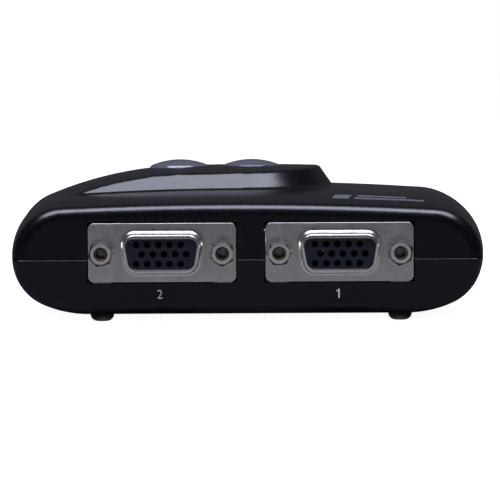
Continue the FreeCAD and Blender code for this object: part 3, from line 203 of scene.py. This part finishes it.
def jack_nickel():
    """Bright nickel on turned brass, with fine turning lines round the screw's axis, and painted shade
    darkening its bore and other hollows.
    """
    look = Shader("jack_nickel", (0.86, 0.82, 0.77), 0.22, 1.0)
    look.vary_colour(look.noise(1.4, 4), (0.76, 0.71, 0.65))
    look.vary_roughness(look.noise(2.0, 3), 0.18, 0.26)
    # painted shade: the base colour goes dark in the bore and where the screw crowds against the plate
    look.paint_shade_in_hollows(0.30)
    look.bump(look.noise(1.0, 2, stretch=(0.6, 9.0, 0.6)), 0.002, 0.3)
    return look


def thread_brass():
    """The bare brass of a tapped thread."""
    look = Shader("thread_brass", (0.58, 0.40, 0.22), 0.28, 1.0)
    look.vary_colour(look.noise(2.2, 3), (0.40, 0.26, 0.14))
    look.bump(look.noise(6.0, 2), 0.004, 0.4)
    return look


def port_plastic():
    """Dark blue-black thermoplastic of the video sockets."""
    look = Shader("port_plastic", (0.0040, 0.0050, 0.0110), 0.42)
    look.vary_colour(look.noise(1.2, 4), (0.0064, 0.0078, 0.0160))
    look.vary_roughness(look.noise(2.5, 3), 0.36, 0.52)
    look.bump(look.noise(3.0, 3), 0.010, 0.5)
    return look


def usb_plastic():
    """Black plastic of the type A sockets."""
    look = Shader("usb_plastic", (0.010, 0.010, 0.011), 0.40)
    look.vary_colour(look.noise(1.0, 4), (0.016, 0.016, 0.017))
    look.bump(look.noise(5.0, 2), 0.006, 0.4)
    return look


def chip_plastic():
    """Matt epoxy of the chips."""
    look = Shader("chip_plastic", (0.018, 0.018, 0.019), 0.58)
    look.vary_colour(look.noise(3.0, 5), (0.030, 0.030, 0.031))
    look.bump(look.noise(9.0, 3), 0.010, 0.6)
    return look


def switch_plastic():
    """Black plastic of the tactile switches."""
    look = Shader("switch_plastic", (0.020, 0.020, 0.021), 0.46)
    look.vary_colour(look.noise(2.0, 3), (0.030, 0.030, 0.031))
    look.bump(look.noise(7.0, 2), 0.006, 0.4)
    return look


def plunger_plastic():
    """Ivory plastic of the switch plungers."""
    look = Shader("plunger_plastic", (0.62, 0.59, 0.52), 0.45, Subsurface_Weight=0.1)
    look.vary_colour(look.noise(1.5, 3), (0.55, 0.51, 0.43))
    look.bump(look.noise(7.0, 2), 0.006, 0.4)
    return look


def header_plastic():
    """Cream plastic of the ribbon connectors."""
    look = Shader("header_plastic", (0.70, 0.65, 0.52), 0.48, Subsurface_Weight=0.1)
    look.vary_colour(look.noise(0.9, 3), (0.62, 0.56, 0.42))
    look.bump(look.noise(6.0, 2), 0.006, 0.4)
    return look


def ribbon_plastic():
    """Grey vinyl insulation of the flat cable."""
    look = Shader("ribbon_plastic", (0.30, 0.31, 0.33), 0.45)
    look.vary_colour(look.noise(0.8, 3), (0.24, 0.25, 0.27))
    look.bump(look.noise(5.0, 3), 0.010, 0.5)
    return look


def tin_plate():
    """Bright tinned steel, faintly crystalline."""
    look = Shader("tin_plate", (0.74, 0.73, 0.70), 0.24, 1.0)
    look.vary_colour(look.cells(0.8), (0.60, 0.59, 0.57), 0.2, 0.9)
    look.vary_roughness(look.noise(1.6, 4), 0.18, 0.34)
    look.bump(look.noise(2.2, 3), 0.006, 0.4)
    return look


def spring_steel():
    """Bright rolled spring steel of the snap domes."""
    look = Shader("spring_steel", (0.62, 0.61, 0.60), 0.20, 1.0)
    look.vary_roughness(look.noise(3.0, 3), 0.15, 0.28)
    look.bump(look.noise(4.0, 2), 0.004, 0.3)
    return look


def can_metal():
    """Drawn aluminium can with fine vertical drawing lines."""
    look = Shader("can_metal", (0.80, 0.80, 0.81), 0.26, 1.0)
    look.vary_roughness(look.noise(1.2, 3), 0.20, 0.34)
    look.bump(look.noise(2.0, 3, stretch=(4.0, 4.0, 0.3)), 0.006, 0.4)
    return look


def screw_steel():
    """Black-oxide screw steel, worn a little where a driver touches it."""
    look = Shader("screw_steel", (0.030, 0.030, 0.033), 0.34, 1.0)
    look.vary_colour(look.noise(1.8, 5), (0.10, 0.10, 0.105), 0.55, 0.75)
    look.vary_roughness(look.noise(2.6, 3), 0.28, 0.45)
    look.bump(look.noise(4.0, 3), 0.008, 0.5)
    return look


def gold_contact():
    """Gold-flashed contacts, with painted shade darkening them where they sit deep in their holes."""
    look = Shader("gold_contact", (0.90, 0.62, 0.24), 0.20, 1.0)
    look.vary_roughness(look.noise(3.0, 3), 0.15, 0.30)
    look.vary_colour(look.noise(2.0, 3), (0.78, 0.50, 0.18))
    # painted shade: the base colour goes dark where the contacts sit deep in the insulator's holes
    look.paint_shade_in_hollows(0.55)
    return look


def foot_rubber():
    """Matt black rubber with a slight bloom."""
    look = Shader("foot_rubber", (0.0075, 0.0075, 0.0080), 0.62)
    look.vary_colour(look.noise(0.9, 5), (0.013, 0.013, 0.014))
    look.vary_roughness(look.noise(2.0, 3), 0.55, 0.72)
    look.bump(look.noise(5.0, 3), 0.015, 0.6)
    return look


def led_lens():
    """Tinted clear epoxy."""
    look = Shader("led_lens", (0.55, 0.80, 0.35), 0.10, Transmission_Weight=0.7, IOR=1.52)
    look.vary_colour(look.noise(0.6, 2), (0.45, 0.72, 0.28))
    look.bump(look.noise(2.0, 2), 0.004, 0.2)
    return look


def ceramic():
    """Tan ceramic of the small chip parts."""
    look = Shader("ceramic", (0.42, 0.31, 0.20), 0.50)
    look.vary_colour(look.noise(2.4, 4), (0.34, 0.24, 0.15))
    look.bump(look.noise(8.0, 2), 0.008, 0.5)
    return look


def board_laminate():
    """Green solder mask over glass laminate, with the copper tracks showing as a paler, raised pattern."""
    look = Shader("board_laminate", (0.006, 0.058, 0.022), 0.28, Coat_Weight=0.4, Coat_Roughness=0.12)
    tracks = look.tree.nodes.new("ShaderNodeTexBrick")
    tracks.offset = 0.5
    tracks.inputs["Scale"].default_value = 0.35
    tracks.inputs["Mortar Size"].default_value = 0.06
    tracks.inputs["Brick Width"].default_value = 2.4
    tracks.inputs["Row Height"].default_value = 0.5
    look.link(look.where, tracks.inputs["Vector"])
    look.vary_colour(tracks.outputs["Fac"], (0.015, 0.110, 0.045), 0.2, 0.8)
    look.vary_colour(look.noise(4.0, 3, stretch=(1.0, 1.0, 0.2)), (0.005, 0.045, 0.018), 0.55, 0.8)
    look.bump(tracks.outputs["Fac"], 0.03, 0.7)
    return look


def label_film():
    """Blank satin polyester label."""
    look = Shader("label_film", (0.60, 0.61, 0.62), 0.34)
    look.vary_colour(look.noise(0.3, 3), (0.54, 0.55, 0.56))
    look.bump(look.noise(7.0, 2), 0.003, 0.3)
    return look


def pad_print():
    """White pad-printing ink: thin, with an uneven edge and density."""
    look = Shader("pad_print", (0.84, 0.85, 0.88), 0.42)
    look.vary_colour(look.noise(3.5, 4), (0.62, 0.63, 0.66), 0.40, 0.80)
    look.bump(look.noise(8.0, 2), 0.004, 0.4)
    return look


def deck_ink():
    """Grey pad-printing ink, duller than the port numbers."""
    look = Shader("deck_ink", (0.115, 0.118, 0.130), 0.45)
    look.vary_colour(look.noise(3.0, 4), (0.070, 0.072, 0.082), 0.35, 0.75)
    look.bump(look.noise(8.0, 2), 0.004, 0.4)
    return look


SLOT_LOOKS = {
    maker.__name__: maker
    for maker in (
        black_plastic, smoky_plastic, nickel_shell, jack_nickel, port_plastic, usb_plastic, chip_plastic,
        switch_plastic, plunger_plastic, header_plastic, ribbon_plastic, tin_plate, spring_steel, can_metal,
        screw_steel, gold_contact, foot_rubber, led_lens, ceramic, board_laminate, label_film,
    )
}


# ---------------------------------------------------------------- CAD nodes


SHARPEST_SMOOTH_EDGE = math.radians(32)


def smooth_by_angle():
    """A geometry node group that shades smooth across every edge that is not sharp."""
    tree = bpy.data.node_groups.new("smooth_by_angle", "GeometryNodeTree")
    tree.interface.new_socket("Geometry", in_out="INPUT", socket_type="NodeSocketGeometry")
    tree.interface.new_socket("Geometry", in_out="OUTPUT", socket_type="NodeSocketGeometry")
    start, end = tree.nodes.new("NodeGroupInput"), tree.nodes.new("NodeGroupOutput")
    faces = tree.nodes.new("GeometryNodeSetShadeSmooth")
    edges = tree.nodes.new("GeometryNodeSetShadeSmooth")
    edges.domain = "EDGE"
    angle = tree.nodes.new("GeometryNodeInputMeshEdgeAngle")
    blunt = tree.nodes.new("FunctionNodeCompare")
    blunt.operation = "LESS_THAN"
    blunt.inputs["B"].default_value = SHARPEST_SMOOTH_EDGE
    tree.links.new(angle.outputs["Unsigned Angle"], blunt.inputs["A"])
    tree.links.new(start.outputs[0], faces.inputs["Geometry"])
    tree.links.new(faces.outputs[0], edges.inputs["Geometry"])
    tree.links.new(blunt.outputs["Result"], edges.inputs["Shade Smooth"])
    tree.links.new(edges.outputs[0], end.inputs[0])
    return tree


def dress_nodes():
    """Gives every CAD node the look of its material slot, and smooth shading away from sharp edges."""
    looks = {slot: maker().material for slot, maker in SLOT_LOOKS.items()}
    shading = smooth_by_angle()
    for entry in frame["record"]["subparts"]:
        node = NODES[entry["node"]]
        node.data.materials.clear()
        node.data.materials.append(looks[entry["material_slot"]])
        node.modifiers.new("smooth_by_angle", "NODES").node_group = shading


# ---------------------------------------------------------------- printed marks


INK_DEPTH = 0.02 * MM
ABOVE_ALL = 0.1  # metres, well over the top of the switch
NUMBER_HEIGHT = 1.95 * MM
NUMBER_PLACE = 6.18 * MM
NUMBER_MIDDLES = {"1": 18.8 * MM, "2": -18.15 * MM}
STROKE_THINNING = 0.03 * MM
LETTER_SHARE = 0.729  # a built-in digit's height as a share of its size
CLOSE_TO_FACE = 0.003 * MM


def housing_piece(name, mesh, look):
    """A piece of the housing, from a mesh that is already in place."""
    piece = bpy.data.objects.new(name, mesh)
    bpy.context.scene.collection.objects.link(piece)
    piece.data.materials.append(look)
    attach(piece, "housing")


ONE_OUTLINE = (  # in shares of the height, round from the foot's right corner
    (0.07, 0.0), (0.07, 1.0), (-0.03, 1.0), (-0.10, 0.87),
    (-0.26, 0.80), (-0.26, 0.70), (-0.08, 0.75), (-0.08, 0.0),
)
ONE_MIDDLE = (-0.06, 0.5)


def digit_one(height):
    """A flagged 1 as one flat face, centred on the origin, from an outline in shares of its height."""
    mesh = bpy.data.meshes.new("digit_one")
    middle_x, middle_y = ONE_MIDDLE
    corners = [((x - middle_x) * height, (y - middle_y) * height, 0) for x, y in ONE_OUTLINE]
    mesh.from_pydata(corners, [], [range(len(corners))])
    return mesh


def digit_two(height):
    """A 2 from the built-in letter shapes, centred on the origin in its own XY plane."""
    curve = bpy.data.curves.new("digit_two", "FONT")
    curve.body = "2"
    curve.align_x = "CENTER"
    curve.size = height / LETTER_SHARE
    curve.offset = -STROKE_THINNING
    curve.resolution_u = 6
    holder = bpy.data.objects.new("digit_two", curve)
    bpy.context.scene.collection.objects.link(holder)
    bpy.context.view_layer.update()
    mesh = bpy.data.meshes.new_from_object(holder)
    bpy.data.objects.remove(holder)
    bpy.data.curves.remove(curve)
    mesh.transform(Matrix.Translation((0, -height / 2, 0)))
    mesh.materials.clear()
    return mesh


def thicken(mesh, depth):
    """Turns a flat sheet into a closed slab that rises by depth."""
    build = bmesh.new()
    build.from_mesh(mesh)
    bmesh.ops.remove_doubles(build, verts=build.verts, dist=1e-7)
    bmesh.ops.recalc_face_normals(build, faces=build.faces)
    if sum(face.normal.z for face in build.faces) < 0:
        bmesh.ops.reverse_faces(build, faces=build.faces)
    grown = bmesh.ops.extrude_face_region(build, geom=list(build.faces))
    raised = [item for item in grown["geom"] if isinstance(item, bmesh.types.BMVert)]
    bmesh.ops.translate(build, verts=raised, vec=(0, 0, depth))
    bmesh.ops.recalc_face_normals(build, faces=build.faces)
    build.to_mesh(mesh)
    build.free()


def make_port_numbers(ink):
    """The digits below the two computer ports, lying on the drafted rear face."""
    rear = -HALF_DEPTH + END_DRAFT * (PARTING_HEIGHT - NUMBER_PLACE) + CLOSE_TO_FACE
    turn = Matrix.Rotation(math.pi / 2 + math.atan(END_DRAFT), 4, "X")
    for name, mesh in (("1", digit_one(NUMBER_HEIGHT)), ("2", digit_two(NUMBER_HEIGHT))):
        thicken(mesh, INK_DEPTH)
        mesh.transform(Matrix.Translation((NUMBER_MIDDLES[name], rear, NUMBER_PLACE)) @ turn)
        housing_piece(f"port_number_{name}", mesh, ink)


SIGN_NEAR = -30.0 * MM
SIGN_FAR = -26.4 * MM
SIGN_SLANT = 0.25
BAR_WIDTH = 1.3 * MM
BAR_ROWS = 3


def plain_bar(build, left, right, near, far):
    """A flat bar in plan, slanted like italic print and split finely enough to follow the deck."""
    columns = round((right - left) / MM)

    def corner(column, row):
        return build.verts.new((
            left + (right - left) * column / columns + SIGN_SLANT * (far - near) * row / BAR_ROWS,
            near + (far - near) * row / BAR_ROWS,
            0,
        ))

    for column in range(columns):
        for row in range(BAR_ROWS):
            build.faces.new([
                corner(column, row),
                corner(column + 1, row),
                corner(column + 1, row + 1),
                corner(column, row + 1),
            ])


def drop_on_deck(mesh):
    """Raises every point of a mesh by the height of the top shell there."""
    shell = NODES["top_shell"]
    surface = BVHTree.FromObject(shell, bpy.context.evaluated_depsgraph_get())
    to_row = shell.matrix_world
    for vertex in mesh.vertices:
        above = to_row.inverted() @ Vector((vertex.co.x, vertex.co.y, ABOVE_ALL))
        hit = surface.ray_cast(above, Vector((0, 0, -1)))[0]
        vertex.co.z += (to_row @ hit).z


def make_deck_print(ink):
    """A plain printed sign on the deck behind port 1: a block and two bars."""
    build = bmesh.new()
    plain_bar(build, 17.6 * MM, 21.0 * MM, SIGN_NEAR, SIGN_FAR)
    plain_bar(build, 22.2 * MM, 36.6 * MM, SIGN_NEAR, SIGN_NEAR + BAR_WIDTH)
    plain_bar(build, 22.8 * MM, 33.0 * MM, SIGN_FAR - BAR_WIDTH, SIGN_FAR)
    bmesh.ops.remove_doubles(build, verts=build.verts, dist=1e-6)
    mesh = bpy.data.meshes.new("deck_print")
    build.to_mesh(mesh)
    build.free()
    thicken(mesh, INK_DEPTH)
    drop_on_deck(mesh)
    housing_piece("deck_print", mesh, ink)


# ---------------------------------------------------------------- threads


THREAD_RADIUS = 1.13 * MM
THREAD_DEPTH = 0.17 * MM
THREAD_PITCH = 0.635 * MM
THREAD_TURNS = 6
THREAD_SEGMENTS = 28
THREAD_START = 0.9 * MM  # below the screw's mouth
ROOT_OVERLAP = 0.02 * MM
LEAST_RIDGE = 0.02  # share of the depth that is left at the two ends


def thread_ring(build, step):
    """The V section of the thread at one step round its helix, fading out at both ends."""
    turns = step / THREAD_SEGMENTS
    fade = max(LEAST_RIDGE, min(1.0, turns, THREAD_TURNS - turns))
    root, tip = THREAD_RADIUS + ROOT_OVERLAP, THREAD_RADIUS - THREAD_DEPTH * fade
    profile = ((root, -0.42), (tip, -0.06), (tip, 0.06), (root, 0.42))
    angle = 2 * math.pi * turns
    return [
        build.verts.new((r * math.cos(angle), r * math.sin(angle), THREAD_PITCH * (turns + rise)))
        for r, rise in profile
    ]


def thread_mesh():
    """A V-section ridge wound round the Z axis, standing inwards."""
    build = bmesh.new()
    rings = [thread_ring(build, step) for step in range(THREAD_TURNS * THREAD_SEGMENTS + 1)]
    for near, far in zip(rings, rings[1:]):
        for index in range(4):
            following = (index + 1) % 4
            build.faces.new((near[index], near[following], far[following], far[index]))
    build.faces.new(rings[0][::-1])
    build.faces.new(rings[-1])
    bmesh.ops.recalc_face_normals(build, faces=build.faces)
    mesh = bpy.data.meshes.new("thread")
    build.to_mesh(mesh)
    build.free()
    return mesh


def make_jack_threads(brass):
    """The tapped threads inside each port's two jack screws."""
    for port, (middle, facing) in PORTS.items():
        pair = bmesh.new()
        mouth = facing * (HALF_DEPTH + JACK_REACH - THREAD_START)
        turn = Matrix.Rotation(facing * math.pi / 2, 4, "X")
        for side in (-1, 1):
            thread = thread_mesh()
            place = (middle + side * JACK_PITCH / 2, mouth, PORT_HEIGHT)
            thread.transform(Matrix.Translation(place) @ turn)
            pair.from_mesh(thread)
            bpy.data.meshes.remove(thread)
        mesh = bpy.data.meshes.new(f"{port}_jack_threads")
        pair.to_mesh(mesh)
        pair.free()
        mesh.shade_smooth()
        housing_piece(f"{port}_jack_threads", mesh, brass)


# ---------------------------------------------------------------- studio


PAPER_GLOW = 0.95
ROOM_TONE = (0.150, 0.154, 0.170, 1.0)


def stage_shader(material):
    """Lets the camera see the stage as bright white paper, and the object see it as a plain dimmer tone.

    From below the stage is clear, so that the object's underside can be looked at.
    """
    tree = material.node_tree
    paper = next(node for node in tree.nodes if node.type == "BSDF_PRINCIPLED")
    output = next(node for node in tree.nodes if node.type == "OUTPUT_MATERIAL")
    ray, glow, lit = (
        tree.nodes.new(kind) for kind in ("ShaderNodeLightPath", "ShaderNodeEmission", "ShaderNodeAddShader")
    )
    dim, chosen = tree.nodes.new("ShaderNodeBsdfDiffuse"), tree.nodes.new("ShaderNodeMixShader")
    side, clear, sided = (
        tree.nodes.new(kind)
        for kind in ("ShaderNodeNewGeometry", "ShaderNodeBsdfTransparent", "ShaderNodeMixShader")
    )
    dim.inputs["Color"].default_value = ROOM_TONE
    glow.inputs["Strength"].default_value = PAPER_GLOW
    tree.links.new(paper.outputs[0], lit.inputs[0])
    tree.links.new(glow.outputs[0], lit.inputs[1])
    tree.links.new(ray.outputs["Is Camera Ray"], chosen.inputs["Fac"])
    tree.links.new(dim.outputs[0], chosen.inputs[1])
    tree.links.new(lit.outputs[0], chosen.inputs[2])
    tree.links.new(side.outputs["Backfacing"], sided.inputs["Fac"])
    tree.links.new(chosen.outputs[0], sided.inputs[1])
    tree.links.new(clear.outputs[0], sided.inputs[2])
    tree.links.new(sided.outputs[0], output.inputs["Surface"])


FLOOR_REACH = 6.0


def make_floor():
    """A wide pale floor under the feet."""
    build = bmesh.new()
    bmesh.ops.create_grid(build, x_segments=8, y_segments=8, size=FLOOR_REACH)
    mesh = bpy.data.meshes.new("floor")
    build.to_mesh(mesh)
    build.free()
    floor = bpy.data.objects.new("floor", mesh)
    bpy.context.scene.collection.objects.link(floor)
    look = Shader("floor_paper", (0.86, 0.86, 0.87), 0.75)
    look.vary_colour(look.noise(0.01, 3), (0.84, 0.84, 0.85))
    stage_shader(look.material)
    mesh.materials.append(look.material)


ROOM_LIGHT_FRONT = 0.038
ROOM_LIGHT_BACK = 0.080
ROOM_COLOUR = (0.80, 0.85, 1.0, 1.0)
WHITE = (1.0, 1.0, 1.0, 1.0)


def make_world():
    """A dim room, a little brighter behind the object, that the camera itself sees as white."""
    world = bpy.data.worlds.new("room")
    bpy.context.scene.world = world
    world.use_nodes = True
    tree = world.node_tree
    tree.nodes.clear()
    output = tree.nodes.new("ShaderNodeOutputWorld")
    where, split = tree.nodes.new("ShaderNodeTexCoord"), tree.nodes.new("ShaderNodeSeparateXYZ")
    shade = tree.nodes.new("ShaderNodeMapRange")
    shade.inputs["From Min"].default_value = -1.0
    shade.inputs["To Min"].default_value = ROOM_LIGHT_FRONT
    shade.inputs["To Max"].default_value = ROOM_LIGHT_BACK
    ray, mix = tree.nodes.new("ShaderNodeLightPath"), tree.nodes.new("ShaderNodeMixShader")
    room, backdrop = tree.nodes.new("ShaderNodeBackground"), tree.nodes.new("ShaderNodeBackground")
    room.inputs["Color"].default_value = ROOM_COLOUR
    backdrop.inputs["Color"].default_value = WHITE
    tree.links.new(where.outputs["Generated"], split.inputs[0])
    tree.links.new(split.outputs["Y"], shade.inputs["Value"])
    tree.links.new(shade.outputs["Result"], room.inputs["Strength"])
    tree.links.new(ray.outputs["Is Camera Ray"], mix.inputs["Fac"])
    tree.links.new(room.outputs[0], mix.inputs[1])
    tree.links.new(backdrop.outputs[0], mix.inputs[2])
    tree.links.new(mix.outputs[0], output.inputs["Surface"])


NEUTRAL = (1.0, 1.0, 1.0)
COOL = (0.79, 0.82, 1.0)
PORT_FACE = (0.0, -0.04, 0.015)


def softbox(name, place, target, size, brightness, colour=NEUTRAL):
    """A rectangular area light of a given brightness, turned towards a target."""
    light = bpy.data.lights.new(name, "AREA")
    light.shape = "RECTANGLE"
    light.size, light.size_y = size
    light.energy = brightness * math.pi * size[0] * size[1]
    light.color = colour
    holder = bpy.data.objects.new(name, light)
    bpy.context.scene.collection.objects.link(holder)
    holder.location = place
    holder.rotation_euler = (Vector(target) - Vector(place)).to_track_quat("-Z", "Y").to_euler()
    return holder


def collected(name, nodes):
    """A new collection of CAD nodes."""
    group = bpy.data.collections.new(name)
    for node in nodes:
        group.objects.link(NODES[node])
    return group


def hidden_card(name, place, target, size, brightness, nodes):
    """A card the camera can't see: it lights only some CAD nodes, with only CAD nodes in its way."""
    card = softbox(name, place, target, size, brightness)
    card.visible_camera = False
    card.light_linking.receiver_collection = collected(f"lit_by_{name}", nodes)
    card.light_linking.blocker_collection = collected(f"in_the_way_of_{name}", NODES)


def make_studio_lights():
    """A large softbox overhead, a dim card behind for the deck, and a front fill without reflections."""
    softbox("overhead", (0.0, -0.245, 0.85), (0.0, -0.245, 0.0), (1.04, 0.43), 10.0, COOL)
    softbox("rear_card", (0.0, 1.25, 1.05), (0.0, 0.0, 0.0), (2.6, 0.9), 0.05, COOL)
    fill = softbox("front_fill", (0.0, -1.2, 0.25), (0.0, 0.0, 0.0), (0.6, 0.4), 7.5)
    fill.visible_glossy = False


def make_metal_cards():
    """Cards at the sides and below that put bright edges on the sockets' metal."""
    metal = [f"{port}_{part}" for port in PORTS for part in ("shell", "jack_screws")]
    hidden_card("left_card", (-0.50, -0.06, 0.04), PORT_FACE, (0.12, 0.30), 0.9, metal)
    hidden_card("right_card", (0.50, -0.06, 0.04), PORT_FACE, (0.12, 0.30), 0.9, metal)
    hidden_card("low_card", (0.0, -0.09, 0.002), (0.0, -0.09, 1.0), (0.50, 0.10), 0.27, metal)


def make_under_card():
    """A card below, so that the small parts of the underside can be made out from underneath."""
    below = ["rubber_feet", "rating_label", "housing_screws"]
    hidden_card("under_card", (0.0, 0.0, -0.80), (0.0, 0.0, 0.0), (0.3, 0.3), 7.0, below)


CAMERA_PLACE = (3.0 * MM, -736 * MM, 57.9 * MM)
CAMERA_YAW = math.radians(0.20)
CAMERA_PITCH = math.radians(-3.49)
CAMERA_ROLL = math.radians(-0.30)
FOCAL_SHARE = 6.79  # focal length as a share of the picture's width
SENSOR_WIDTH = 36
NEAREST_SEEN = 0.05
FARTHEST_SEEN = 50


def make_camera():
    """The camera behind the object and a little above it."""
    data = bpy.data.cameras.new("camera")
    data.sensor_width = SENSOR_WIDTH
    data.lens = SENSOR_WIDTH * FOCAL_SHARE
    data.clip_start = NEAREST_SEEN
    data.clip_end = FARTHEST_SEEN
    holder = bpy.data.objects.new("camera", data)
    bpy.context.scene.collection.objects.link(holder)
    turn = (
        Matrix.Rotation(CAMERA_YAW, 4, "Z")
        @ Matrix.Rotation(math.pi / 2 + CAMERA_PITCH, 4, "X")
        @ Matrix.Rotation(CAMERA_ROLL, 4, "Z")
    )
    holder.matrix_world = Matrix.Translation(CAMERA_PLACE) @ turn
    bpy.context.scene.camera = holder


def main():
    """Builds the looks, the printed marks and threads, and the studio."""
    dress_nodes()
    make_port_numbers(pad_print().material)
    make_deck_print(deck_ink().material)
    make_jack_threads(thread_brass().material)
    make_floor()
    make_world()
    make_studio_lights()
    make_metal_cards()
    make_under_card()
    make_camera()
    bpy.context.scene.view_settings.view_transform = "Standard"


main()
